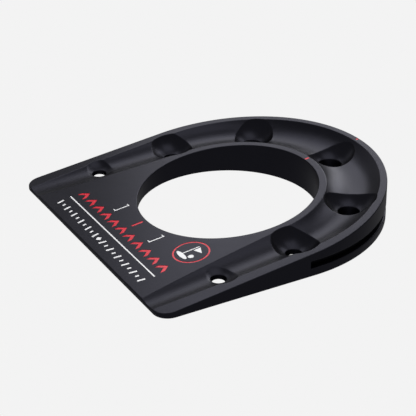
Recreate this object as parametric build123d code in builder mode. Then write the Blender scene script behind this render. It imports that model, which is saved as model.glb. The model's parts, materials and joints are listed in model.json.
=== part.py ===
from build123d import *
from math import atan, cos, degrees, radians, sin
import os

# Putting cup: a wedge-shaped ring plate with a ball track and seven ball seats round a hole.
# Frame: origin at the centre of the footprint, on the surface it rests on.
# -Y is the thin front edge that the ball rolls over, +Y the tall round back, +Z is up.
# All lengths are in millimetres.

# ---- driving dimensions: outline and wedge ----
overall_width = 184.5
overall_length = 187.5
front_thickness = 2.8
back_thickness = 25.2
front_corner_radius = 9.0
edge_round = 0.6

# ---- the hole that the ball drops into ----
cup_hole_radius = 54.0
cup_hole_y = -0.75

# ---- ball track: a round-bottomed channel on a horseshoe path ----
track_path_radius = 72.4
track_profile_radius = 24.0
track_splay = 2.2               # degrees that each straight arm leans outwards
track_depth_front = 0.8
track_depth_back = 6.4

# ---- ball seats: spherical pockets, each with a tapered peg hole that is counterbored from below ----
seat_radius = 16.5
seat_places = (                 # x, y and the depth of the lowest point below the top face
    (75.6, -50.0, 3.9),
    (72.9, -0.3, 9.4),
    (54.6, 49.0, 10.9),
    (0.0, 72.4, 11.6),
)
peg_hole_base_radius = 2.8
peg_hole_taper = 0.34           # growth of the radius per millimetre of height
peg_hole_overrun = 3.0          # how far the cut goes on above the lowest point of the seat
counterbore_radius = 9.0
counterbore_depth = 2.5

# ---- finger-grip groove round the back: a flat ledge under a sloping undercut ----
grip_ledge = 5.0
grip_top = 9.9
grip_depth = 3.0
grip_end_y = -1.6
cut_overrun = 5.0               # how far a cutting shape reaches past the plate

# ---- enamel marks laid in engraved recesses of the top face ----
enamel_depth = 0.35
engraving_clearance = 0.12      # how far the enamel stays below the top face

# ---- rubber pads let into the underside ----
pad_proud = 0.3
pad_sink = 1.2
pad_width = 5.0
pad_path_radius = 88.2          # between the counterbores and the outer edge
pad_arm_length = 62.0
pad_arm_y = -44.0
pad_arc_sweep = 62.0
pad_arc_middles = {"back_right_pad": 47.0, "back_left_pad": 133.0}

# ---- worked-out values ----
half_width = overall_width / 2
front_y = -overall_length / 2
back_y = overall_length / 2
arc_y = back_y - half_width
base_z = pad_proud
rise = (back_thickness - front_thickness) / overall_length
slope = degrees(atan(rise))
top_face = Plane(
    origin=(0, front_y, base_z + front_thickness),
    x_dir=(1, 0, 0),
    z_dir=(0, -sin(radians(slope)), cos(radians(slope))),
)


def up_slope(y):
    """Distance along the sloping top face, from the front edge to the level line at y."""
    return (y - front_y) / cos(radians(slope))


def plate_plan():
    """Plan of the plate: a half round at the back, straight sides, two rounded front corners."""
    with BuildSketch(Plane.XY.offset(base_z), mode=Mode.PRIVATE) as plan:
        with Locations((0, (front_y + arc_y) / 2)):
            Rectangle(overall_width, arc_y - front_y)
        with Locations((0, arc_y)):
            Circle(half_width)
        fillet(plan.vertices().group_by(Axis.Y)[0], front_corner_radius)
    return plan.sketch


# ---- path of the ball track, in a plane of its own that rises less than the top face ----
track_back_y = arc_y + track_path_radius
track_floor_front = front_thickness - track_depth_front
track_floor_back = front_thickness + rise * (track_back_y - front_y) - track_depth_back
track_rise = (track_floor_back - track_floor_front) / (track_back_y - front_y)
track_slope = degrees(atan(track_rise))
track_floor_plane = Plane(
    origin=(0, arc_y, base_z + track_floor_front + track_rise * (arc_y - front_y)),
    x_dir=(1, 0, 0),
    z_dir=(0, -sin(radians(track_slope)), cos(radians(track_slope))),
)
track_plane = track_floor_plane.offset(track_profile_radius)
track_run_out = 120.0

with BuildLine(track_plane) as track_path:
    back_arc = CenterArc((0, 0), track_path_radius, track_splay, 180 - 2 * track_splay)
    right_arm = Line(back_arc @ 0 - track_run_out * (back_arc % 0), back_arc @ 0)
    left_arm = Line(back_arc @ 1, back_arc @ 1 + track_run_out * (back_arc % 1))


# ---- seat positions: one at the back and three on each side ----
seats = [place for place in seat_places if place[0] == 0]
for x, y, depth in seat_places:
    if x > 0:
        seats += [(x, y, depth), (-x, y, depth)]

# ---- enamel marks: each is a thin solid that ends just below the top face ----
enamel_face = top_face.offset(-engraving_clearance)
tick_width = 1.0
tick_length = 10.0
tick_serif = 2.2
tick_x = 22.3
tick_y = -60.0
line_length = 111.6
line_width = 0.9
line_y = -78.4
chevron_count = 11
chevron_pitch = 10.2
chevron_width = 7.2
chevron_height = 7.0
chevron_stroke = 3.0
chevron_y = -71.0
centre_tick_width = 1.5
centre_tick_length = 7.2
centre_tick_y = -61.0
rim_tick_width = 1.6
inner_tick_length = 2.8
inner_tick_y = 55.3
outer_tick_length = 1.6
outer_tick_y = 92.3
dash_y = -85.7
dash_height = 4.6
dash_width = 1.5
dash_pitch = 4.9
dash_per_side = 11
dash_slant = 12                 # degrees
diamond_width = 2.8
badge_x = 47.2
badge_y = -51.2
badge_radius = 10.7
badge_stroke = 1.0
# Parts of the badge, measured from its middle: (across, up the slope)
pole_middle = (-2.2, 0.6)
pole_size = (0.9, 12.0)
pennant_middle = (0.9, 4.2)
pennant_base = 4.8
pennant_side = 6.4
green_middle = (-1.0, -5.6)
green_size = (5.2, 1.5)
ball_middle = (3.6, -2.2)
ball_radius = 1.7
serif_width_share = 0.7

with BuildPart() as side_ticks:
    with BuildSketch(enamel_face):
        for side in (-1, 1):
            with Locations((side * tick_x, up_slope(tick_y))):
                Rectangle(tick_width, tick_length)
            for end in (-1, 1):
                serif_v = up_slope(tick_y) + end * (tick_length - tick_width) / 2
                with Locations((side * tick_x - tick_serif / 2, serif_v)):
                    Rectangle(tick_serif, tick_width * serif_width_share)
    extrude(amount=-enamel_depth)

with BuildPart() as centre_tick:
    with BuildSketch(enamel_face):
        with Locations((0, up_slope(centre_tick_y))):
            Rectangle(centre_tick_width, centre_tick_length)
    extrude(amount=-enamel_depth)

with BuildPart() as base_line:
    with BuildSketch(enamel_face):
        with Locations((0, up_slope(line_y))):
            Rectangle(line_length, line_width)
    extrude(amount=-enamel_depth)

# A row of chevrons, all pointing at the hole.
chevron_points = (
    (-chevron_width / 2, -chevron_height / 2),
    (0, chevron_height / 2 - chevron_stroke),
    (chevron_width / 2, -chevron_height / 2),
    (chevron_width / 2, -chevron_height / 2 + chevron_stroke),
    (0, chevron_height / 2),
    (-chevron_width / 2, -chevron_height / 2 + chevron_stroke),
)
with BuildPart() as chevron_row:
    with BuildSketch(enamel_face):
        with Locations((0, up_slope(chevron_y))):
            with GridLocations(chevron_pitch, 1, chevron_count, 1):
                Polygon(*chevron_points)
    extrude(amount=-enamel_depth)

# A scale of slanted dashes on each side of a small diamond.
with BuildPart() as dash_row:
    with BuildSketch(enamel_face):
        with Locations((0, up_slope(dash_y))):
            Rectangle(diamond_width, diamond_width, rotation=45)
        for side in (-1, 1):
            for step in range(1, dash_per_side + 1):
                height = dash_height if step % 2 else dash_height / 2
                with Locations((side * step * dash_pitch, up_slope(dash_y))):
                    Rectangle(dash_width, height, rotation=-side * dash_slant)
    extrude(amount=-enamel_depth)

def in_badge(middle):
    """Place on the enamel face of a part of the badge."""
    return badge_x + middle[0], up_slope(badge_y) + middle[1]


# Round badge: a ring with a plain flag-in-the-hole sign inside it.
with BuildPart() as badge_ring:
    with BuildSketch(enamel_face):
        with Locations((badge_x, up_slope(badge_y))):
            Circle(badge_radius)
            Circle(badge_radius - badge_stroke, mode=Mode.SUBTRACT)
    extrude(amount=-enamel_depth)

with BuildPart() as badge_flag:
    with BuildSketch(enamel_face):
        with Locations(in_badge(pole_middle)):
            Rectangle(*pole_size)
        with Locations(in_badge(pennant_middle)):
            Triangle(a=pennant_base, b=pennant_side, c=pennant_side, rotation=-90)
        with Locations(in_badge(green_middle)):
            Ellipse(*green_size)
    extrude(amount=-enamel_depth)

with BuildPart() as badge_ball:
    with BuildSketch(enamel_face):
        with Locations(in_badge(ball_middle)):
            Circle(ball_radius)
    extrude(amount=-enamel_depth)

# Short centre marks across the inner and the outer rim at the back.
with BuildPart() as inner_rim_tick:
    with BuildSketch(enamel_face):
        with Locations((0, up_slope(inner_tick_y))):
            Rectangle(rim_tick_width, inner_tick_length)
    extrude(amount=-enamel_depth)

with BuildPart() as outer_rim_tick:
    with BuildSketch(enamel_face):
        with Locations((0, up_slope(outer_tick_y))):
            Rectangle(rim_tick_width, outer_tick_length)
    extrude(amount=-enamel_depth)

enamel_marks = {
    "side_aim_ticks": side_ticks,
    "centre_aim_tick": centre_tick,
    "base_line": base_line,
    "chevron_row": chevron_row,
    "dash_row": dash_row,
    "badge_ring": badge_ring,
    "badge_flag": badge_flag,
    "badge_ball": badge_ball,
    "inner_rim_tick": inner_rim_tick,
    "outer_rim_tick": outer_rim_tick,
}

# ---- rubber pads: two straight ones under the sides and two curved ones under the back ----
pad_top = base_z + pad_sink
pads = {}

for name, side in (("front_left_pad", -1), ("front_right_pad", 1)):
    with BuildPart() as pad:
        with BuildSketch(Plane.XY):
            with Locations((side * pad_path_radius, pad_arm_y)):
                SlotOverall(pad_arm_length, pad_width, rotation=90)
        extrude(amount=pad_top)
    pads[name] = pad

for name, middle in pad_arc_middles.items():
    with BuildPart() as pad:
        with BuildSketch(Plane.XY):
            with BuildLine():
                pad_centre = CenterArc(
                    (0, arc_y), pad_path_radius, middle - pad_arc_sweep / 2, pad_arc_sweep
                )
            SlotArc(pad_centre, pad_width)
        extrude(amount=pad_top)
    pads[name] = pad

# ---- body ----
# Section of the finger-grip groove: (distance from the centre, height above the underside).
grip_section = (
    (half_width, grip_ledge),
    (half_width - grip_depth, grip_ledge),
    (half_width, grip_top),
    (half_width + cut_overrun, grip_top),
    (half_width + cut_overrun, grip_ledge),
)

with BuildPart() as body:
    with BuildSketch(Plane.XY.offset(base_z)):
        add(plate_plan())
    extrude(amount=back_thickness + cut_overrun)
    split(bisect_by=top_face, keep=Keep.BOTTOM)
    upper_face = body.faces().sort_by(Axis.Z)[-1]
    lower_face = body.faces().sort_by(Axis.Z)[0]
    fillet(upper_face.edges() + lower_face.edges(), edge_round)

    # the hole, with a softened upper edge
    with BuildSketch(Plane.XY):
        with Locations((0, cup_hole_y)):
            Circle(cup_hole_radius)
    extrude(amount=back_thickness * 2, mode=Mode.SUBTRACT)
    hole_rim = body.edges().filter_by(GeomType.ELLIPSE).sort_by(SortBy.LENGTH)[-1]
    fillet(hole_rim, edge_round)

    # the ball track
    with BuildSketch(Plane(origin=right_arm @ 0, z_dir=right_arm % 0)):
        Circle(track_profile_radius)
    sweep(path=track_path.line, mode=Mode.SUBTRACT)

    # the seats, with the peg holes and counterbores under them
    for x, y, depth in seats:
        floor = front_thickness + rise * (y - front_y) - depth
        with Locations((x, y, base_z + floor + seat_radius)):
            Sphere(seat_radius, mode=Mode.SUBTRACT)
        with BuildSketch(Plane.XY.offset(base_z)):
            with Locations((x, y)):
                Circle(peg_hole_base_radius)
        extrude(
            amount=floor + peg_hole_overrun,
            taper=-degrees(atan(peg_hole_taper)),
            mode=Mode.SUBTRACT,
        )
        with BuildSketch(Plane.XY.offset(base_z)):
            with Locations((x, y)):
                Circle(counterbore_radius)
        extrude(amount=counterbore_depth, mode=Mode.SUBTRACT)

    # the finger-grip groove: the same section carried round the back and a little along each side
    for side in (-1, 1):
        with BuildSketch(Plane(origin=(0, arc_y, base_z), x_dir=(side, 0, 0), z_dir=(0, -side, 0))):
            Polygon(*grip_section, align=None)
        extrude(amount=side * (arc_y - grip_end_y), mode=Mode.SUBTRACT)
    with BuildSketch(Plane(origin=(0, arc_y, base_z), x_dir=(1, 0, 0), z_dir=(0, -1, 0))):
        Polygon(*grip_section, align=None)
    revolve(axis=Axis((0, arc_y, 0), (0, 0, 1)), revolution_arc=180, mode=Mode.SUBTRACT)

    # recesses for the enamel marks and the rubber pads
    for mark in enamel_marks.values():
        add(mark.part, mode=Mode.SUBTRACT)
        enamel_tops = mark.faces().filter_by(lambda face: face.normal_at().dot(top_face.z_dir) > 0.99)
        extrude(enamel_tops, amount=2 * engraving_clearance, mode=Mode.SUBTRACT)
    for pad in pads.values():
        add(pad.part, mode=Mode.SUBTRACT)

# ---- one file per piece ----
os.makedirs("parts", exist_ok=True)
body.part.label = "body"
export_step(body.part, "parts/body.step")
for name, piece in {**enamel_marks, **pads}.items():
    piece.part.label = name
    export_step(piece.part, f"parts/{name}.step")
print("body volume", round(body.part.volume), "mm3")
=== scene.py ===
# %% [markdown]
# # A golf putting cup, from a fixed CAD frame to a finished picture
# The object is one heavy plate of black anodised aluminium: a wedge that a ball rolls up, with a
# regulation-size hole in it, a round-bottomed track like a horseshoe about the hole, and seven
# round seats along the track. Enamel marks are laid in engraved recesses near the front edge,
# and thin rubber pads under the plate keep it from sliding.
#
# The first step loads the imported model. The plate's lengths and places below come from it or from
# a few driving sizes. The camera and the lights are set by values of their own.

# %% Load the frame
import json
import math
from itertools import chain

import bmesh
import bpy
import numpy as np
from mathutils import Matrix, Vector
from mathutils.geometry import delaunay_2d_cdt

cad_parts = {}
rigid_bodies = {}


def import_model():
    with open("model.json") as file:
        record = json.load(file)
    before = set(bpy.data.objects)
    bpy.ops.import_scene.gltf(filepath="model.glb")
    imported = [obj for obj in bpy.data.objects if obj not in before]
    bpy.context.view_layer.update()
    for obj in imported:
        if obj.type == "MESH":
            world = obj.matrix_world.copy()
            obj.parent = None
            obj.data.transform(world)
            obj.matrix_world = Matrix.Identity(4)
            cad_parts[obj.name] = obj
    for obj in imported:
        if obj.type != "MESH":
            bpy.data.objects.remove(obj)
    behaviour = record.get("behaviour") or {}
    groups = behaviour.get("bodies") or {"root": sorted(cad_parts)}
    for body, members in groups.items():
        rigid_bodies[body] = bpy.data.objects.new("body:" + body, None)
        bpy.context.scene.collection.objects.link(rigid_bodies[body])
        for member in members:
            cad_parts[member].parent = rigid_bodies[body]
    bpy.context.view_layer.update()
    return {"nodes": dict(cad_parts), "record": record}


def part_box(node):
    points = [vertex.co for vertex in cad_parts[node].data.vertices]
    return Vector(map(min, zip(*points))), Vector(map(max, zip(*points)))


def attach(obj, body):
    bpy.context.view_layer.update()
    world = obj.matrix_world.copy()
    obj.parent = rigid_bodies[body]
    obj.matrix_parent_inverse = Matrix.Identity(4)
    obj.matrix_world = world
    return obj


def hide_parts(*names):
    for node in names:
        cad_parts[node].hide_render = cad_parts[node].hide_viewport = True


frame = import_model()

# %% [markdown]
# ## Camera
# A long lens from a little less than a metre away gives the calm, slightly flattened perspective
# of a catalogue picture. The camera is placed by the direction it looks from, the distance, and
# the point on the object that its optical axis passes through, because those three can be
# reasoned about, while a bare matrix can't.

# %% Camera
MM = 0.001
CAMERA_AZIMUTH = math.radians(61.127)
CAMERA_ELEVATION = math.radians(27.322)
CAMERA_ROLL = math.radians(-0.739)
CAMERA_DISTANCE = 800.2 * MM
CAMERA_LENS = 115.34
CAMERA_AIM = Vector((-6.39, -10.63, 1.19)) * MM


def camera_frame(azimuth, elevation, roll):
    """Right, up and backward directions of a camera at azimuth and elevation, turned by roll."""
    backward = Vector((
        math.sin(azimuth) * math.cos(elevation),
        -math.cos(azimuth) * math.cos(elevation),
        math.sin(elevation),
    ))
    level_right = Vector((math.cos(azimuth), math.sin(azimuth), 0.0))
    level_up = backward.cross(level_right)
    right = math.cos(roll) * level_right + math.sin(roll) * level_up
    return right, backward.cross(right), backward


right, up, backward = camera_frame(CAMERA_AZIMUTH, CAMERA_ELEVATION, CAMERA_ROLL)
camera_data = bpy.data.cameras.new("catalogue_camera")
camera_data.lens = CAMERA_LENS
camera_data.clip_start = 0.05
camera = bpy.data.objects.new("catalogue_camera", camera_data)
bpy.context.scene.collection.objects.link(camera)
camera.matrix_world = Matrix.Translation(CAMERA_AIM + backward * CAMERA_DISTANCE) @ Matrix(
    (right, up, backward)
).transposed().to_4x4()
bpy.context.scene.camera = camera
print("camera at, mm:", [round(value / MM) for value in camera.matrix_world.translation])

# %% [markdown]
# ## Sizes of the plate
# The outline and the height of the underside are read from the frame. The rest are the driving
# sizes of the design, in millimetres: the wedge, the hole, the track, the seats and the groove.

# %% Sizes
body_low, body_high = (np.array(corner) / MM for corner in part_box("body"))
BASE = body_low[2]
HALF_WIDTH = body_high[0]
FRONT_Y = body_low[1]
ARC_Y = body_high[1] - HALF_WIDTH
CORNER_RADIUS = 9.0
FRONT_THICKNESS = 2.8
BACK_THICKNESS = 25.2
RISE = (BACK_THICKNESS - FRONT_THICKNESS) / (body_high[1] - FRONT_Y)
TOP_NORMAL = np.array([0.0, -RISE, 1.0]) / math.hypot(1.0, RISE)
EDGE_ROUND = 0.6

HOLE_RADIUS = 54.0
HOLE_Y = -0.75

PATH_RADIUS = 72.4
PATH_SPLAY = math.radians(2.2)
TRACK_RADIUS = 24.0
TRACK_DEPTH_FRONT = 0.8
TRACK_DEPTH_BACK = 6.4

SEAT_RADIUS = 16.5
SEAT_PLACES = ((75.6, -50.0, 3.9), (72.9, -0.3, 9.4), (54.6, 49.0, 10.9), (0.0, 72.4, 11.6))
PEG_BASE_RADIUS = 2.8
PEG_TAPER = 0.34
COUNTERBORE_RADIUS = 9.0
COUNTERBORE_DEPTH = 2.5
PEG_EDGE_ROUND = 0.35

GRIP_LEDGE = 5.0
GRIP_TOP = 9.9
GRIP_DEPTH = 3.0
GRIP_END_Y = -1.6

RIM_SOFTNESS = 0.3              # how much height the rounding of a milled rim takes up
ENGRAVING_DEPTH = 0.47          # the enamel's thickness and the little that it stays below the top
print("plate, mm:", body_low.round(2), body_high.round(2), "slope", round(math.degrees(math.atan(RISE)), 2))

# %% [markdown]
# ## The top as a height function
# A milled plate like this is cut from above, so its whole top is one height over each point of the
# plan: the lowest of the sloping face, the track's round bottom and the seats' spheres. That makes
# a formula possible where a stack of boolean cuts would leave ragged triangles along every rim.
# A smooth minimum in place of the plain one rounds each rim a little, as deburring does, and it is
# that small round that catches a line of light.

# %% Heights of the cuts
track_back_y = ARC_Y + PATH_RADIUS
track_floor_front = FRONT_THICKNESS - TRACK_DEPTH_FRONT
track_floor_back = FRONT_THICKNESS + RISE * (track_back_y - FRONT_Y) - TRACK_DEPTH_BACK
TRACK_RISE = (track_floor_back - track_floor_front) / (track_back_y - FRONT_Y)
TRACK_COS = 1.0 / math.hypot(1.0, TRACK_RISE)
TRACK_SIN = TRACK_RISE * TRACK_COS
path_origin_y = ARC_Y - TRACK_RADIUS * TRACK_SIN
path_origin_z = BASE + track_floor_front + TRACK_RISE * (ARC_Y - FRONT_Y) + TRACK_RADIUS * TRACK_COS
NOT_CUT = 1000.0
HEIGHT_ROUNDS = 4


def top_height(y):
    """Height of the uncut sloping face at y: a straight line from the front thickness to the back one."""
    return BASE + FRONT_THICKNESS + RISE * (y - FRONT_Y)


def path_offset(x, v):
    """Signed distance outwards from the horseshoe path, in the path's own plane.

    On the arc it is the distance from the arc's centre less the radius. On an arm, which leans
    outwards by the splay, it is |x| cos(splay) + v sin(splay) less the radius.
    """
    on_arc = v * math.cos(PATH_SPLAY) > np.abs(x) * math.sin(PATH_SPLAY)
    along_arm = np.abs(x) * math.cos(PATH_SPLAY) + v * math.sin(PATH_SPLAY)
    return np.where(on_arc, np.hypot(x, v), along_arm) - PATH_RADIUS


def track_height(x, y):
    """Height of the track's bottom: a circle of TRACK_RADIUS about the path, in a tilted plane.

    The point's place along the tilted plane depends on its height, so the height is found by
    putting it back into the circle's equation a few times.
    """
    z = path_origin_z - TRACK_RADIUS + np.zeros_like(x)
    for _ in range(HEIGHT_ROUNDS):
        v = (y - path_origin_y) * TRACK_COS + (z - path_origin_z) * TRACK_SIN
        below = TRACK_RADIUS**2 - path_offset(x, v) ** 2
        sunk = -np.sqrt(np.maximum(below, 0.0))
        z = path_origin_z + (sunk + (y - path_origin_y) * TRACK_SIN) / TRACK_COS
    return np.where(below > 0.0, z, NOT_CUT)


def arm_x(y):
    """Distance of an arm's centreline from the middle, in front of the arc."""
    start_y = ARC_Y + PATH_RADIUS * math.sin(PATH_SPLAY)
    return PATH_RADIUS * math.cos(PATH_SPLAY) + (start_y - y) * math.tan(PATH_SPLAY)


seat_rows = [(side * x, y, depth) for x, y, depth in SEAT_PLACES for side in (1, -1) if x or side > 0]
SEATS = np.array(seat_rows)[:, :2]
SEAT_FLOORS = top_height(SEATS[:, 1]) - np.array(seat_rows)[:, 2]


def seat_height(x, y):
    """Height of the lowest seat sphere over each point: centre height less the root of R^2 - distance^2."""
    away = (x[..., None] - SEATS[:, 0]) ** 2 + (y[..., None] - SEATS[:, 1]) ** 2
    inside = SEAT_RADIUS**2 - away
    z = SEAT_FLOORS + SEAT_RADIUS - np.sqrt(np.maximum(inside, 0.0))
    return np.where(inside > 0.0, z, NOT_CUT).min(axis=-1)


def smooth_min(a, b, softness):
    """The lower of a and b, less a quarter of the softness where they meet.

    The part taken off fades out where a and b differ by the softness.
    """
    near = np.clip(1.0 - np.abs(a - b) / softness, 0.0, 1.0)
    return np.minimum(a, b) - near**2 * softness / 4


def cut_height(x, y):
    """Height of the milled top: the smooth minimum of the sloping face, the track and the seats."""
    face_and_track = smooth_min(top_height(y), track_height(x, y), RIM_SOFTNESS)
    return smooth_min(face_and_track, seat_height(x, y), RIM_SOFTNESS)


print("seat floors above the ground, mm:", SEAT_FLOORS.round(2))

# %% [markdown]
# ## Edges of the plan
# Along the outline, the hole and the peg holes the top rolls over a small round into a wall. How
# far a point lies in from each of those edges gives the drop of that round.

# %% Distances from the edges
seat_z = SEAT_FLOORS + SEAT_RADIUS
PEG_RIM_ROUNDS = 20


def peg_rim_radius(floor):
    """Radius where a peg hole's cone meets its seat's sphere.

    The sphere's height at a radius gives the cone's radius there, which is put back in until it
    settles.
    """
    radius = PEG_BASE_RADIUS
    for _ in range(PEG_RIM_ROUNDS):
        rim_z = floor + SEAT_RADIUS - math.sqrt(SEAT_RADIUS**2 - radius**2)
        radius = PEG_BASE_RADIUS + PEG_TAPER * (rim_z - BASE)
    return radius


PEG_RIMS = np.array([peg_rim_radius(floor) for floor in SEAT_FLOORS])


def outline_inset(x, y):
    """Distance in from the outline: half round behind ARC_Y, straight sides, two round corners."""
    corner_x = np.abs(x) - (HALF_WIDTH - CORNER_RADIUS)
    corner_y = (FRONT_Y + CORNER_RADIUS) - y
    straight = np.minimum(HALF_WIDTH - np.abs(x), y - FRONT_Y)
    in_corner = (corner_x > 0.0) & (corner_y > 0.0)
    front = np.where(in_corner, CORNER_RADIUS - np.hypot(corner_x, corner_y), straight)
    return np.where(y > ARC_Y, HALF_WIDTH - np.hypot(x, y - ARC_Y), front)


def hole_inset(x, y):
    """Distance out from the wall of the big hole."""
    return np.hypot(x, y - HOLE_Y) - HOLE_RADIUS


def peg_inset(x, y):
    """Distance out from the rim of the nearest peg hole."""
    away = np.hypot(x[..., None] - SEATS[:, 0], y[..., None] - SEATS[:, 1])
    return (away - PEG_RIMS).min(axis=-1)


def round_drop(inset, radius):
    """Drop of a quarter round of that radius: radius less the root of radius^2 - (radius - inset)^2."""
    reach = radius - np.clip(inset, 0.0, radius)
    return radius - np.sqrt(radius**2 - reach**2)


def surface_height(x, y):
    """Height of the finished top: the milled height less the drop of each rounded edge."""
    drop = round_drop(outline_inset(x, y), EDGE_ROUND) + round_drop(hole_inset(x, y), EDGE_ROUND)
    return cut_height(x, y) - drop - round_drop(peg_inset(x, y), PEG_EDGE_ROUND)


print("peg hole rims, mm:", PEG_RIMS.round(2))

# %% [markdown]
# ## Points of the plan
# A plain square grid would cut across every rim in little steps. Instead the plan gets rows of
# points that run along the rims themselves, a few either side of each, and a grid that follows the
# track between them. A constrained triangulation then joins them and keeps each row as real edges.

# %% A plan that points and lines are laid on
plan_points = []
plan_links = []
loop_starts = {}


def lay(xy, keep=None, closed=False, linked=True, name=None):
    """Adds a row of points to the plan and links neighbours that are both kept.

    A closed row also links its last point to its first.
    """
    start = sum(len(part) for part in plan_points)
    keep = np.ones(len(xy), bool) if keep is None else keep
    place = start + np.cumsum(keep) - 1
    plan_points.append(xy[keep])
    if linked:
        following = np.roll(np.arange(len(xy)), -1)
        both = keep & keep[following]
        if not closed:
            both[-1] = False
        plan_links.append(np.column_stack((place, place[following]))[both])
    if name:
        loop_starts[name] = (start, int(keep.sum()))


ARC_STEPS = 264
SIDE_STEPS = 64
GRIP_STEPS = 3
CORNER_STEPS = 9
FRONT_STEPS = 96
ROUND_ANGLES = np.radians((0.0, 18.0, 36.0, 54.0, 72.0, 90.0))


def arc_points(centre, radius, start, stop, steps):
    """Points on an arc about centre, from the start angle to just short of the stop, in degrees."""
    angle = np.radians(np.linspace(start, stop, steps, endpoint=False))
    return np.column_stack((centre[0] + radius * np.cos(angle), centre[1] + radius * np.sin(angle)))


def line_points(start, stop, steps):
    """Evenly spaced points on a line, without its last one."""
    return np.linspace(start, stop, steps, endpoint=False)


def outline(inset):
    """The outline drawn in by inset, anticlockwise from the right end of the back arc."""
    side = HALF_WIDTH - inset
    corner = CORNER_RADIUS - inset
    corner_x, corner_y = HALF_WIDTH - CORNER_RADIUS, FRONT_Y + CORNER_RADIUS
    return np.concatenate((
        arc_points((0.0, ARC_Y), side, 0, 180, ARC_STEPS),
        line_points((-side, ARC_Y), (-side, GRIP_END_Y), GRIP_STEPS),
        line_points((-side, GRIP_END_Y), (-side, corner_y), SIDE_STEPS),
        arc_points((-corner_x, corner_y), corner, 180, 270, CORNER_STEPS),
        line_points((-corner_x, FRONT_Y + inset), (corner_x, FRONT_Y + inset), FRONT_STEPS),
        arc_points((corner_x, corner_y), corner, 270, 360, CORNER_STEPS),
        line_points((side, corner_y), (side, GRIP_END_Y), SIDE_STEPS),
        line_points((side, GRIP_END_Y), (side, ARC_Y), GRIP_STEPS),
    ))


HOLE_STEPS = 320
PEG_STEPS = 120
for number, angle in enumerate(ROUND_ANGLES):
    inset = EDGE_ROUND * (1 - math.cos(angle))
    on_edge = number == 0
    lay(outline(inset), closed=True, name="outline" if on_edge else None)
    hole_circle = arc_points((0.0, HOLE_Y), HOLE_RADIUS + inset, 0, 360, HOLE_STEPS)
    lay(hole_circle, closed=True, name="hole" if on_edge else None)
    peg_round = PEG_EDGE_ROUND * (1 - math.cos(angle))
    for index, (seat, rim) in enumerate(zip(SEATS, PEG_RIMS)):
        peg_circle = arc_points(seat, rim + peg_round, 0, 360, PEG_STEPS)
        lay(peg_circle, closed=True, name=f"peg_{index}" if on_edge else None)
print("edge loops:", list(loop_starts))

# %% [markdown]
# ### Rims of the seats
# Where a seat's sphere leaves the surface round it has no simple formula, because that surface is
# part face and part track. It is found along 120 spokes from the seat's middle, all at once, by
# halving the interval in which the two heights cross.

# %% Rims and rings of the seats
RIM_OFFSETS = (-0.4, -0.18, 0.0, 0.18, 0.4)
SEAT_RINGS = 9
RING_FROM_PEG = 0.4             # gap from a peg hole's round to the first ring
RING_FROM_RIM = 0.5             # gap from the last ring to the rows along the rim
spoke_angles = np.radians(np.arange(PEG_STEPS) * 360.0 / PEG_STEPS)
spokes = np.column_stack((np.cos(spoke_angles), np.sin(spoke_angles)))


def halve(low, high, is_inside, rounds=36):
    """The crossing between low, where is_inside holds, and high, where it doesn't, by halving."""
    for _ in range(rounds):
        middle = (low + high) / 2
        inside = is_inside(middle)
        low, high = np.where(inside, middle, low), np.where(inside, high, middle)
    return (low + high) / 2


def seat_rim(seat, centre_z):
    """Radius of a seat's rim along each spoke."""
    def is_inside(radius):
        x, y = (seat + spokes * radius[:, None]).T
        around = np.minimum(top_height(y), track_height(x, y))
        return centre_z - np.sqrt(np.maximum(SEAT_RADIUS**2 - radius**2, 0.0)) < around
    return halve(np.zeros(PEG_STEPS), np.full(PEG_STEPS, SEAT_RADIUS), is_inside)


seat_rims = np.array([seat_rim(seat, z) for seat, z in zip(SEATS, seat_z)])
for seat, rim, peg_rim in zip(SEATS, seat_rims, PEG_RIMS):
    for offset in RIM_OFFSETS:
        lay(seat + spokes * (rim + offset)[:, None], closed=True)
    ring_low = peg_rim + PEG_EDGE_ROUND + RING_FROM_PEG
    for share in np.linspace(0.0, 1.0, SEAT_RINGS):
        ring = ring_low + (rim + RIM_OFFSETS[0] - RING_FROM_RIM - ring_low) * share
        lay(seat + spokes * ring[:, None], linked=False)


def clear_of_seats(xy, room):
    """True where a point is outside every seat's rim by more than room."""
    clear = np.ones(len(xy), bool)
    for seat, rim in zip(SEATS, seat_rims):
        away = xy - seat
        angle = np.arctan2(away[:, 1], away[:, 0]) % (2 * math.pi)
        rim_here = np.interp(angle, np.append(spoke_angles, 2 * math.pi), np.append(rim, rim[0]))
        clear &= np.hypot(away[:, 0], away[:, 1]) > rim_here + room
    return clear


print("seat rims across and along, mm:", seat_rims.min(axis=1).round(1), seat_rims.max(axis=1).round(1))

# %% [markdown]
# ### Rims and floor of the track
# The same halving finds the two rims of the track, outwards and inwards from its path. Between
# them a grid of points follows the path, so that the polished bottom has even facets along it.

# %% Rims and floor of the track
ARM_STEPS = 84
TRACK_ARC_STEPS = 200
TRACK_COLUMNS = 27
EDGE_CLEARANCE = EDGE_ROUND + 0.35
PATH_START = 0.5                # how far in from the front edge the path's first point lies
RIM_SEARCH = 0.95               # share of the track's radius in which its rim is looked for
RIM_ROW_ROOM = 0.55             # how far rows along the track's rims stay from a seat's rim
GRID_ROOM = 0.9                 # how far the grid between them stays from it
GRID_MARGIN = 1.0               # how far the grid stays from the track's own rims


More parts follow.
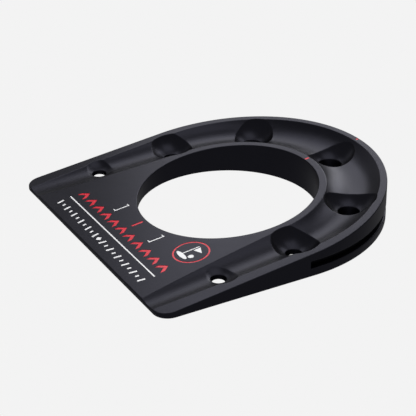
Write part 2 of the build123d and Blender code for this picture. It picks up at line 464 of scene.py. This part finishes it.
def path_frames():
    """Points on the path from left front round the back to right front, and outwards at each."""
    arc_angle = np.pi - PATH_SPLAY - np.linspace(0, 1, TRACK_ARC_STEPS + 1) * (np.pi - 2 * PATH_SPLAY)
    out_arc = np.column_stack((np.cos(arc_angle), np.sin(arc_angle)))
    on_arc = np.array([0.0, ARC_Y]) + PATH_RADIUS * out_arc
    arm_y = np.linspace(FRONT_Y + PATH_START, on_arc[-1, 1], ARM_STEPS, endpoint=False)
    out_arm = np.tile((math.cos(PATH_SPLAY), math.sin(PATH_SPLAY)), (ARM_STEPS, 1))
    on_arm = np.column_stack((arm_x(arm_y), arm_y))
    flip = np.array([-1.0, 1.0])
    middle = np.concatenate((on_arm * flip, on_arc, on_arm[::-1]))
    outwards = np.concatenate((out_arm * flip, out_arc, out_arm[::-1]))
    return middle, outwards


path_middle, path_out = path_frames()


def track_rim(direction):
    """Distance from the path to the track's rim, outwards (1) or inwards (-1)."""
    def is_inside(distance):
        x, y = (path_middle + direction * path_out * distance[:, None]).T
        return track_height(x, y) < top_height(y)
    furthest = np.full(len(path_middle), TRACK_RADIUS * RIM_SEARCH)
    return halve(np.zeros(len(path_middle)), furthest, is_inside)


rim_out, rim_in = track_rim(1), track_rim(-1)
for rim in (rim_out, -rim_in):
    for offset in RIM_OFFSETS:
        row = path_middle + path_out * (rim + offset)[:, None]
        lay(row, clear_of_seats(row, RIM_ROW_ROOM) & (outline_inset(*row.T) > EDGE_CLEARANCE))
for share in np.linspace(0.0, 1.0, TRACK_COLUMNS):
    across = -rim_in + GRID_MARGIN + (rim_in + rim_out - 2 * GRID_MARGIN) * share
    row = path_middle + path_out * across[:, None]
    lay(row, clear_of_seats(row, GRID_ROOM) & (outline_inset(*row.T) > EDGE_CLEARANCE), linked=False)
print("track half-widths, mm:", rim_in.min().round(1), rim_in.max().round(1), rim_out.max().round(1))

# %% [markdown]
# ### Outlines of the enamel marks
# Each mark's recess has to fit its enamel exactly, so its outline is read from the enamel's own
# mesh: of the triangles that face upwards, the sides that only one triangle uses are the border.

# %% Outlines of the marks
FACING_UP = 0.9                 # least cosine to the top face's normal
PLACE_DIGITS = 4
MARKS = [part["node"] for part in frame["record"]["subparts"] if part["material_slot"].endswith("enamel")]


def mesh_arrays(mesh):
    """Vertices in millimetres and triangles of a mesh, as arrays."""
    mesh.calc_loop_triangles()
    places = np.empty(len(mesh.vertices) * 3)
    mesh.vertices.foreach_get("co", places)
    corners = np.empty(len(mesh.loop_triangles) * 3, int)
    mesh.loop_triangles.foreach_get("vertices", corners)
    return places.reshape(-1, 3) / MM, corners.reshape(-1, 3)


def border_edges(triangles):
    """Directed sides that belong to one triangle only."""
    sides = np.concatenate((triangles[:, (0, 1)], triangles[:, (1, 2)], triangles[:, (2, 0)]))
    _, first, uses = np.unique(np.sort(sides, axis=1), axis=0, return_index=True, return_counts=True)
    return sides[first[uses == 1]]


def mark_outline(node):
    """Plan points and links of the border of a mark's upper face."""
    places, triangles = mesh_arrays(frame["nodes"][node].data)
    a, b, c = (places[triangles[:, k]] for k in range(3))
    normals = np.cross(b - a, c - a)
    upward = normals @ TOP_NORMAL > FACING_UP * np.linalg.norm(normals, axis=1)
    corners = places[triangles[upward].ravel(), :2].round(PLACE_DIGITS)
    flat, merged = np.unique(corners, axis=0, return_inverse=True)
    edges = border_edges(merged.reshape(-1, 3))
    return flat, edges


mark_borders = []
for mark in MARKS:
    flat, edges = mark_outline(mark)
    start = sum(len(part) for part in plan_points)
    plan_points.append(flat)
    plan_links.append(edges + start)
    mark_borders.append(flat[edges])
mark_borders = np.concatenate(mark_borders)
print("marks:", len(MARKS), "border sides:", len(mark_borders))

# %% [markdown]
# ## Triangles of the plan
# The triangulation keeps every linked row as an edge. It fills the holes too, so a triangle whose
# three corners all lie on one hole's edge is dropped. It renumbers the points, and a table from
# the old numbers to the new finds each edge loop again afterwards.

# %% Triangulate the plan
TOO_CLOSE = 1e-4


def triangulate(points, links):
    """The renumbered points, triangles that keep the links, and the table from old to new."""
    flat, _, faces, origins, _, _ = delaunay_2d_cdt(points.tolist(), links.tolist(), [], 0, TOO_CLOSE)
    counts = np.fromiter(map(len, origins), int, len(origins))
    renumber = np.full(len(points), -1)
    old = np.fromiter(chain.from_iterable(origins), int, counts.sum())
    renumber[old] = np.repeat(np.arange(len(origins)), counts)
    return np.array(flat), np.array(faces), renumber


def fill_around_holes(points, links, loops):
    """Triangles outside the named hole loops, whose three corners are never on the same one of them."""
    flat, faces, renumber = triangulate(points, links)
    owner = np.full(len(flat), -1)
    found = {name: renumber[start:start + count] for name, (start, count) in loops.items()}
    for number, (name, members) in enumerate(found.items()):
        if name != "outline":
            owner[members] = number
    corners = owner[faces]
    filled = (corners[:, 0] == corners[:, 1]) & (corners[:, 1] == corners[:, 2]) & (corners[:, 0] >= 0)
    return flat, faces[~filled], found


plan, plan_faces, loops = fill_around_holes(
    np.concatenate(plan_points), np.concatenate(plan_links), loop_starts
)
a, b, c = (plan[plan_faces[:, k]] for k in range(3))
twice_area = np.cross(b - a, c - a)
plan_faces[twice_area < 0] = plan_faces[twice_area < 0][:, ::-1]
print("plan points:", len(plan), "triangles:", len(plan_faces), "thinnest:", np.abs(twice_area).min() / 2)

# %% [markdown]
# ## Engraved recesses
# A triangle lies inside a mark if a line drawn from its middle towards +X crosses the marks'
# borders an odd number of times. Those triangles are lowered as the floor of the recess, and a
# strip of wall joins their border to where it was.

# %% Which triangles are inside a mark
def inside_borders(points, borders):
    """True where a line from a point towards +X crosses the borders an odd number of times."""
    x, y = points[:, 0][:, None], points[:, 1][:, None]
    (x0, y0), (x1, y1) = borders[:, 0].T, borders[:, 1].T
    spans = (y0 > y) != (y1 > y)
    run = np.where(y1 == y0, 1.0, y1 - y0)
    crossing = x0 + (y - y0) * (x1 - x0) / run
    return ((spans & (crossing > x)).sum(axis=1) % 2) == 1


middles = plan[plan_faces].mean(axis=1)
low, high = mark_borders.min(axis=(0, 1)), mark_borders.max(axis=(0, 1))
nearby = ((middles > low) & (middles < high)).all(axis=1)
engraved = np.zeros(len(plan_faces), bool)
engraved[nearby] = inside_borders(middles[nearby], mark_borders)
print("engraved triangles:", engraved.sum(), "of", nearby.sum(), "near the marks")

# %% [markdown]
# ## Walls and underside
# A wall is a profile carried round one of the edge loops: a few rows, each the loop moved in or
# out and set to a height. The finger groove is part of the outer wall's profile where it runs, a
# slope that goes in and down to a flat ledge, and each of its two ends is closed by one flat face.

# %% Rows of a wall
shell_places = []
shell_faces = []


def put(places, faces):
    """Adds places and faces to the shell, and returns the number of the first place."""
    start = sum(len(part) for part in shell_places)
    shell_places.append(places)
    shell_faces.extend((faces + start).tolist())
    return start


def strip(rows, closed=True):
    """Joins equally long rows of places with four-sided faces; the first row is the upper one."""
    rows = np.array(rows)
    count, length = rows.shape[:2]
    grid = np.arange(count * length).reshape(count, length)
    after = np.roll(grid, -1, axis=1)
    last = length if closed else length - 1
    upper, upper_after = grid[:-1, :last], after[:-1, :last]
    lower, lower_after = grid[1:, :last], after[1:, :last]
    faces = np.stack((upper, lower, lower_after, upper_after), axis=-1).reshape(-1, 4)
    put(rows.reshape(-1, 3), faces)


def at(xy, z):
    """Places over plan points at a height or heights."""
    return np.column_stack((xy, np.broadcast_to(z, len(xy))))


top_places = at(plan, surface_height(plan[:, 0], plan[:, 1]))
put(top_places, plan_faces[~engraved])
recess_floor = top_places - ENGRAVING_DEPTH * TOP_NORMAL
floor_used, floor_faces = np.unique(plan_faces[engraved], return_inverse=True)
put(recess_floor[floor_used], floor_faces.reshape(-1, 3))
borders = border_edges(plan_faces[engraved])
count = len(borders)
wall_places = np.concatenate((top_places[borders].reshape(-1, 3), recess_floor[borders].reshape(-1, 3)))
pair = np.arange(count) * 2
put(wall_places, np.column_stack((pair, pair + 1, pair + 1 + 2 * count, pair + 2 * count))[:, ::-1])
print("sheet and recesses:", len(shell_faces), "faces")

# %% [markdown]
# The groove's profile is one list of insets and heights. The grooved stretch of the wall carries it
# round the back, and the two flat faces that close its ends run along it the other way.

# %% The outer wall and its groove
GROOVE_SHARES = (0.0, 0.08, 0.5, 0.95, 1.0)
GROOVE_ROOT = 0.15              # run of the ledge beside the groove's root
LIP_RUN = 0.2                   # run of the ledge beside the lip's round
GROOVE_BAND = 0.3               # height of the plain band above the groove


def round_rows(points_at, radius, z_bottom):
    """Rows of the small round at the foot of a wall: inwards by r (1 - cos) as it goes down by r sin."""
    return [
        at(points_at(radius * (1 - math.cos(angle))), z_bottom + radius * (1 - math.sin(angle)))
        for angle in ROUND_ANGLES
    ]


edge_z = top_places[loops["outline"], 2]
outer = outline(0.0)
ledge_z, grip_z = BASE + GRIP_LEDGE, BASE + GRIP_TOP
band_z = grip_z + GROOVE_BAND
lip_z = ledge_z - EDGE_ROUND
foot_z = BASE + EDGE_ROUND
grip_first = len(outer) - GRIP_STEPS
grip_last = ARC_STEPS + GRIP_STEPS
gripped = np.arange(grip_first - len(outer), grip_last + 1)
plain = np.arange(grip_last, grip_first + 1)
slope_part = [
    (GRIP_DEPTH * share, grip_z + (ledge_z - grip_z) * share)
    for share in GROOVE_SHARES
]
ledge_part = [(GRIP_DEPTH - GROOVE_ROOT, ledge_z), (EDGE_ROUND + LIP_RUN, ledge_z)]
lip_part = [
    (EDGE_ROUND * (1 - math.sin(angle)), lip_z + EDGE_ROUND * math.cos(angle))
    for angle in ROUND_ANGLES
]
groove_profile = slope_part + ledge_part + lip_part


def groove_rows():
    """Rows of the outer wall where it has the groove, from the top edge down to the foot."""
    upper = [at(outer[gripped], edge_z[gripped]), at(outer[gripped], band_z)]
    return upper + [at(outline(inset)[gripped], z) for inset, z in groove_profile]


def plain_row(z_at_groove):
    """A row of the plain wall, at that height beside the groove and closing in towards the front."""
    seam_z = edge_z[grip_last]
    share = (z_at_groove - foot_z) / (seam_z - foot_z)
    return at(outer[plain], foot_z + (edge_z[plain] - foot_z) * share)


def groove_end(side):
    """The flat face that closes the groove at one end, on the side of that sign."""
    ring = np.array([(side * (HALF_WIDTH - inset), GRIP_END_Y, z) for inset, z in groove_profile[::-1]])
    order = np.arange(len(ring))
    put(ring, (order if side > 0 else order[::-1])[None])


strip(groove_rows(), closed=False)
strip([at(outer[gripped], lip_z), at(outer[gripped], foot_z)], closed=False)
top_row, foot_row = at(outer[plain], edge_z[plain]), at(outer[plain], foot_z)
strip([top_row, plain_row(band_z), plain_row(grip_z), plain_row(lip_z), foot_row], closed=False)
strip(round_rows(outline, EDGE_ROUND, BASE))
groove_end(1)
groove_end(-1)
print("with the outer wall:", len(shell_faces), "faces")

# %% [markdown]
# The big hole's wall is straight, with a nearly sharp lower edge. A peg hole's wall is a cone that
# closes in downwards and ends in the flat ceiling of a wider counterbore, open below.

# %% The walls of the holes and the underside
FOOT_SOFTNESS = 0.25
FOOT_KNEE = 0.3                 # share of that softness at which the round has its middle row
base_points, base_links, base_loops = [], [], {}


def lay_base(name, xy):
    """Adds a closed loop to the underside's plan."""
    start = sum(len(part) for part in base_points)
    order = np.arange(len(xy))
    base_points.append(xy)
    base_links.append(np.column_stack((order, np.roll(order, -1))) + start)
    base_loops[name] = (start, len(xy))


def hole_wall(name, radius, centre):
    """A hole's wall down from its edge loop, a small round at its foot, and its loop below."""
    top = top_places[loops[name]]
    away = top[:, :2] - centre
    outwards = away / np.linalg.norm(away, axis=1)[:, None]
    knee = FOOT_SOFTNESS * FOOT_KNEE
    foot = centre + outwards * radius
    wide = centre + outwards * (radius + FOOT_SOFTNESS)
    middle = centre + outwards * (radius + knee)
    rows = [top, at(foot, BASE + FOOT_SOFTNESS), at(middle, BASE + knee), at(wide, BASE)]
    strip(rows[::-1])
    lay_base(name, wide)


def peg_wall(index, seat):
    """A peg hole's cone, the flat ring above its counterbore and the counterbore's wall."""
    top = top_places[loops[f"peg_{index}"]]
    away = top[:, :2] - seat
    outwards = away / np.linalg.norm(away, axis=1)[:, None]
    ceiling = BASE + COUNTERBORE_DEPTH
    mouth = PEG_BASE_RADIUS + PEG_TAPER * COUNTERBORE_DEPTH
    rows = [
        top,
        at(seat + outwards * mouth, ceiling),
        at(seat + outwards * COUNTERBORE_RADIUS, ceiling),
        at(seat + outwards * COUNTERBORE_RADIUS, BASE),
    ]
    strip(rows[::-1])
    lay_base(f"peg_{index}", seat + outwards * COUNTERBORE_RADIUS)


lay_base("outline", outline(EDGE_ROUND))
hole_wall("hole", HOLE_RADIUS, np.array([0.0, HOLE_Y]))
for index, seat in enumerate(SEATS):
    peg_wall(index, seat)
base_plan, base_faces, _ = fill_around_holes(
    np.concatenate(base_points), np.concatenate(base_links), base_loops
)
a, b, c = (base_plan[base_faces[:, k]] for k in range(3))
upside_down = np.cross(b - a, c - a) > 0
base_faces[upside_down] = base_faces[upside_down][:, ::-1]
put(at(base_plan, BASE), base_faces)
print("shell:", sum(len(part) for part in shell_places), "places,", len(shell_faces), "faces")

# %% [markdown]
# ## The finished plate
# The parts of the shell share their borders, so merging doubled points closes it. Normals are
# smooth except where two faces meet at more than 38 degrees, and a weighted-normal modifier gives
# the wide flat faces the say over the narrow rounds beside them, so flats stay flat to the edge.

# %% Plate
WELD = 0.004
SHARP_ANGLE = math.radians(38)


def closed_piece(name, places, faces):
    """A mesh object from places in millimetres, welded, smooth, and sharp only past SHARP_ANGLE."""
    mesh = bpy.data.meshes.new(name)
    mesh.from_pydata((places * MM).tolist(), [], faces)
    shape = bmesh.new()
    shape.from_mesh(mesh)
    bmesh.ops.remove_doubles(shape, verts=shape.verts, dist=WELD * MM)
    open_edges = sum(not edge.is_manifold for edge in shape.edges)
    shape.to_mesh(mesh)
    volume = shape.calc_volume() / MM**3
    shape.free()
    mesh.shade_smooth()
    mesh.set_sharp_from_angle(angle=SHARP_ANGLE)
    piece = bpy.data.objects.new(name, mesh)
    bpy.context.scene.collection.objects.link(piece)
    print(name, "faces:", len(mesh.polygons), "open edges:", open_edges, "volume, mm3:", round(volume))
    return piece


plate = closed_piece("milled_plate", np.concatenate(shell_places), shell_faces)
weighted = plate.modifiers.new("flat_faces_lead", "WEIGHTED_NORMAL")
weighted.keep_sharp = True
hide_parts("body")
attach(plate, "root")

# %% [markdown]
# ## Materials
# Three small functions do all the node work: one turns a hex colour into the linear values that
# nodes take, one adds a node with its settings and links, and one starts a material. Patterns are
# in object coordinates, which are metres here, so a pattern's scale is one over its size.

# %% Node helpers
NOISE_LOW, NOISE_HIGH = 0.3, 0.7        # the range that a noise mostly stays within


def linear(hex_colour):
    """Linear RGBA of a colour written as sRGB hex."""
    channels = (int(hex_colour[k:k + 2], 16) / 255 for k in (1, 3, 5))
    return *(c / 12.92 if c <= 0.04045 else ((c + 0.055) / 1.055) ** 2.4 for c in channels), 1.0


def add(tree, kind, settings=None, inputs=None):
    """One node with its settings; an input is set to a value or linked from another node's output."""
    made = tree.nodes.new(kind)
    for key, value in (settings or {}).items():
        setattr(made, key, value)
    for key, value in (inputs or {}).items():
        if isinstance(value, bpy.types.NodeSocket):
            tree.links.new(value, made.inputs[key])
        else:
            made.inputs[key].default_value = value
    return made


def grain(tree, size_mm, detail=2.0, roughness=0.5):
    """The output of a noise whose grains are about that many millimetres across."""
    coords = add(tree, "ShaderNodeTexCoord").outputs["Object"]
    inputs = {"Vector": coords, "Scale": 1 / (size_mm * MM), "Detail": detail, "Roughness": roughness}
    return add(tree, "ShaderNodeTexNoise", inputs=inputs).outputs["Fac"]


def between(tree, factor, low_value, high_value):
    """The output that runs from one value to the other as a noise goes over its usual range."""
    inputs = {
        "Value": factor,
        "From Min": NOISE_LOW,
        "From Max": NOISE_HIGH,
        "To Min": low_value,
        "To Max": high_value,
    }
    return add(tree, "ShaderNodeMapRange", inputs=inputs).outputs["Result"]


def blend_colours(tree, factor, first, second):
    """The output that mixes two hex colours by a factor."""
    mix = add(tree, "ShaderNodeMix", {"data_type": "RGBA"})
    by_kind = {socket.identifier: socket for socket in mix.inputs}
    tree.links.new(factor, by_kind["Factor_Float"])
    by_kind["A_Color"].default_value = linear(first)
    by_kind["B_Color"].default_value = linear(second)
    return next(socket for socket in mix.outputs if socket.identifier == "Result_Color")


def bumps(tree, height, depth_mm, strength):
    """A bump from a height pattern of that depth."""
    inputs = {"Height": height, "Distance": depth_mm * MM, "Strength": strength}
    return add(tree, "ShaderNodeBump", inputs=inputs).outputs["Normal"]


def material(name):
    """A new empty material and its tree."""
    made = bpy.data.materials.new(name)
    made.use_nodes = True
    made.node_tree.nodes.clear()
    return made, made.node_tree


def finish_with(tree, **sockets):
    """Ends a material in a principled shader with those sockets."""
    titles = {name: name.replace("_", " ").title().replace("Ior", "IOR") for name in sockets}
    inputs = {titles[name]: value for name, value in sockets.items()}
    shader = add(tree, "ShaderNodeBsdfPrincipled", inputs=inputs)
    add(tree, "ShaderNodeOutputMaterial", inputs={"Surface": shader.outputs["BSDF"]})


# %% [markdown]
# The plate is milled aluminium, blasted with fine glass beads and then anodised black. The blast
# gives a satin face that spreads every reflection, and the dye leaves a cool cast. Real blast grain
# is about 0.1 mm, too fine to show at this size, so it is drawn at 0.45 mm and kept shallow.

# %% Black anodised aluminium
anodised, tree = material("black_anodised_aluminium")
cloud = grain(tree, 14.0)
blast = grain(tree, 0.45, detail=1.0)
finish_with(
    tree,
    base_color=blend_colours(tree, cloud, "#3C3C45", "#404049"),
    metallic=1.0,
    roughness=between(tree, cloud, 0.30, 0.34),
    normal=bumps(tree, blast, 0.02, 0.25),
)
print("satin black metal:", anodised.name)

# %% [markdown]
# The red and white marks are enamel wiped into the engraving and baked. Its surface settles into a
# slight wave as it dries, which breaks up the sheen; the coat on top is clear and smooth. The wave
# is about 1.2 mm long. Pigment is never quite even, so each colour drifts between two near shades.

# %% Enamels
def enamel(name, first, second, roughness):
    """Glossy paint that drifts between two shades, under a thin clear coat."""
    made, tree = material(name)
    wave = grain(tree, 1.2)
    finish_with(
        tree,
        base_color=blend_colours(tree, wave, first, second),
        roughness=between(tree, wave, roughness - 0.04, roughness + 0.04),
        coat_weight=0.4,
        coat_roughness=0.15,
        normal=bumps(tree, wave, 0.05, 0.3),
    )
    return made


red_enamel = enamel("red_enamel", "#CC1029", "#DA1C36", 0.34)
white_enamel = enamel("white_enamel", "#EAEAEC", "#F4F4F6", 0.42)
print("enamels:", red_enamel.name, white_enamel.name)

# %% [markdown]
# The pads are moulded black rubber. A matt skin with a fine pebble keeps them from shining, and they
# read as darker than the metal because they have no sheen along their edges.

# %% Black rubber
rubber, tree = material("black_rubber")
pebble = grain(tree, 0.8, detail=3.0)
finish_with(
    tree,
    base_color=blend_colours(tree, pebble, "#101012", "#19191B"),
    roughness=between(tree, pebble, 0.66, 0.78),
    specular_ior_level=0.3,
    normal=bumps(tree, pebble, 0.06, 0.4),
)
print("matt rubber:", rubber.name)

# %% [markdown]
# ## What wears which
# The record says which finish each CAD piece has. The marks and pads keep their CAD meshes, which
# are true flats and straight walls already, and only take a material in place of the plain one.

# %% Give each piece its finish
FINISHES = {
    "black_anodised_aluminium": anodised,
    "red_enamel": red_enamel,
    "white_enamel": white_enamel,
    "black_rubber": rubber,
}


def dress(piece, finish):
    """Leaves a piece with that one material."""
    piece.data.materials.clear()
    piece.data.materials.append(finish)


dress(plate, anodised)
for part in frame["record"]["subparts"]:
    if part["node"] != "body":
        dress(bpy.data.objects[part["node"]], FINISHES[part["material_slot"]])

# %% [markdown]
# ## Light
# Satin black metal is mostly what it mirrors, so the lights are where its reflections go: softboxes
# above and behind, on the far side from the camera. The side towards the camera stays dark, which
# is what draws a dark line along every edge there. Enamel is not a mirror and needs light from the
# front as well, so one more softbox lights paint only and is left out of reflections.

# %% Softboxes
LIGHT_AIM = Vector((0, 0, 10))


def softbox(name, place, size, watts, in_reflections=True):
    """A rectangular area light at a place in millimetres, turned to the middle of the plate."""
    data = bpy.data.lights.new(name, "AREA")
    data.shape = "RECTANGLE"
    data.size, data.size_y = (length * MM for length in size)
    data.energy = watts
    lamp = bpy.data.objects.new(name, data)
    lamp.location = Vector(place) * MM
    lamp.rotation_euler = (LIGHT_AIM - Vector(place)).to_track_quat("-Z", "Y").to_euler()
    lamp.visible_glossy = in_reflections
    bpy.context.scene.collection.objects.link(lamp)


softbox("left_softbox", (-620, 330, 480), (350, 350), 0.48)
softbox("top_softbox", (0, 150, 750), (500, 500), 0.40)
softbox("back_left_softbox", (-420, 560, 300), (300, 250), 0.48)
softbox("high_back_softbox", (-300, 650, 600), (300, 250), 0.31)
softbox("high_left_softbox", (-650, 80, 750), (350, 350), 0.26)
softbox("low_left_softbox", (-750, -100, 260), (400, 400), 0.08)
softbox("paint_softbox", (250, -400, 900), (600, 600), 9.0, in_reflections=False)

world = bpy.data.worlds.new("studio_air")
bpy.context.scene.world = world
world.use_nodes = True
air = world.node_tree.nodes["Background"]
air.inputs["Color"].default_value = linear("#F3F3F6")
air.inputs["Strength"].default_value = 0.15

# %% [markdown]
# ## Floor
# The floor is a plain pale sheet that glows evenly, like a lit catalogue table. It is not part of
# the object. It is left out of reflections, because a table lit from below the plate would put a
# bright rim along its lower edges.

# %% Floor
FLOOR_REACH = 4
floor_corners = [(x * FLOOR_REACH, y * FLOOR_REACH, 0) for x, y in ((-1, -1), (1, -1), (1, 1), (-1, 1))]
floor_mesh = bpy.data.meshes.new("floor")
floor_mesh.from_pydata(floor_corners, [], [(0, 1, 2, 3)])
floor = bpy.data.objects.new("floor", floor_mesh)
bpy.context.scene.collection.objects.link(floor)
pale, tree = material("pale_lit_table")
glow = add(tree, "ShaderNodeEmission", inputs={"Color": linear("#F3F3F3")})
add(tree, "ShaderNodeOutputMaterial", inputs={"Surface": glow.outputs["Emission"]})
dress(floor, pale)
floor.visible_diffuse = floor.visible_glossy = False
bpy.context.scene.view_settings.view_transform = "Standard"
print("floor:", floor.name)
